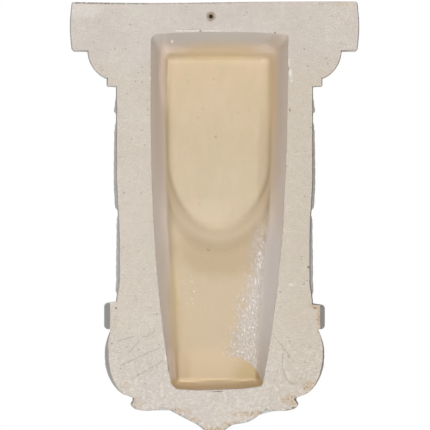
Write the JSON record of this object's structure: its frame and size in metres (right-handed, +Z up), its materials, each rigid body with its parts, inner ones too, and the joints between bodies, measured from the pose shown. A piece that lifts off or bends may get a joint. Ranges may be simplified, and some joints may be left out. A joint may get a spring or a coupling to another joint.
{
  "type": "leaf corbel",
  "caption": "Wall corbel with a square top, a leaf draped down its curved front, a rounded foot with a leaf drop and a hollow back that lies flat on the wall",
  "frame": {"origin": "on the flat back that lies against the wall, on the corbel's centreline, between the nail hole and the hollow", "axes": "+Z up, +Y out of the flat back into the wall, X across; the leafed front faces -Y"},
  "size_m": [0.229, 0.1365, 0.3402],
  "materials": {
    "primed_casting": "rigid foam casting, matt off-white primer on the front, bare sandy back with a smooth cream skin in the hollow"
  },
  "bodies": {
    "root": {"corbel": "primed_casting"}
  },
  "joints": []
}
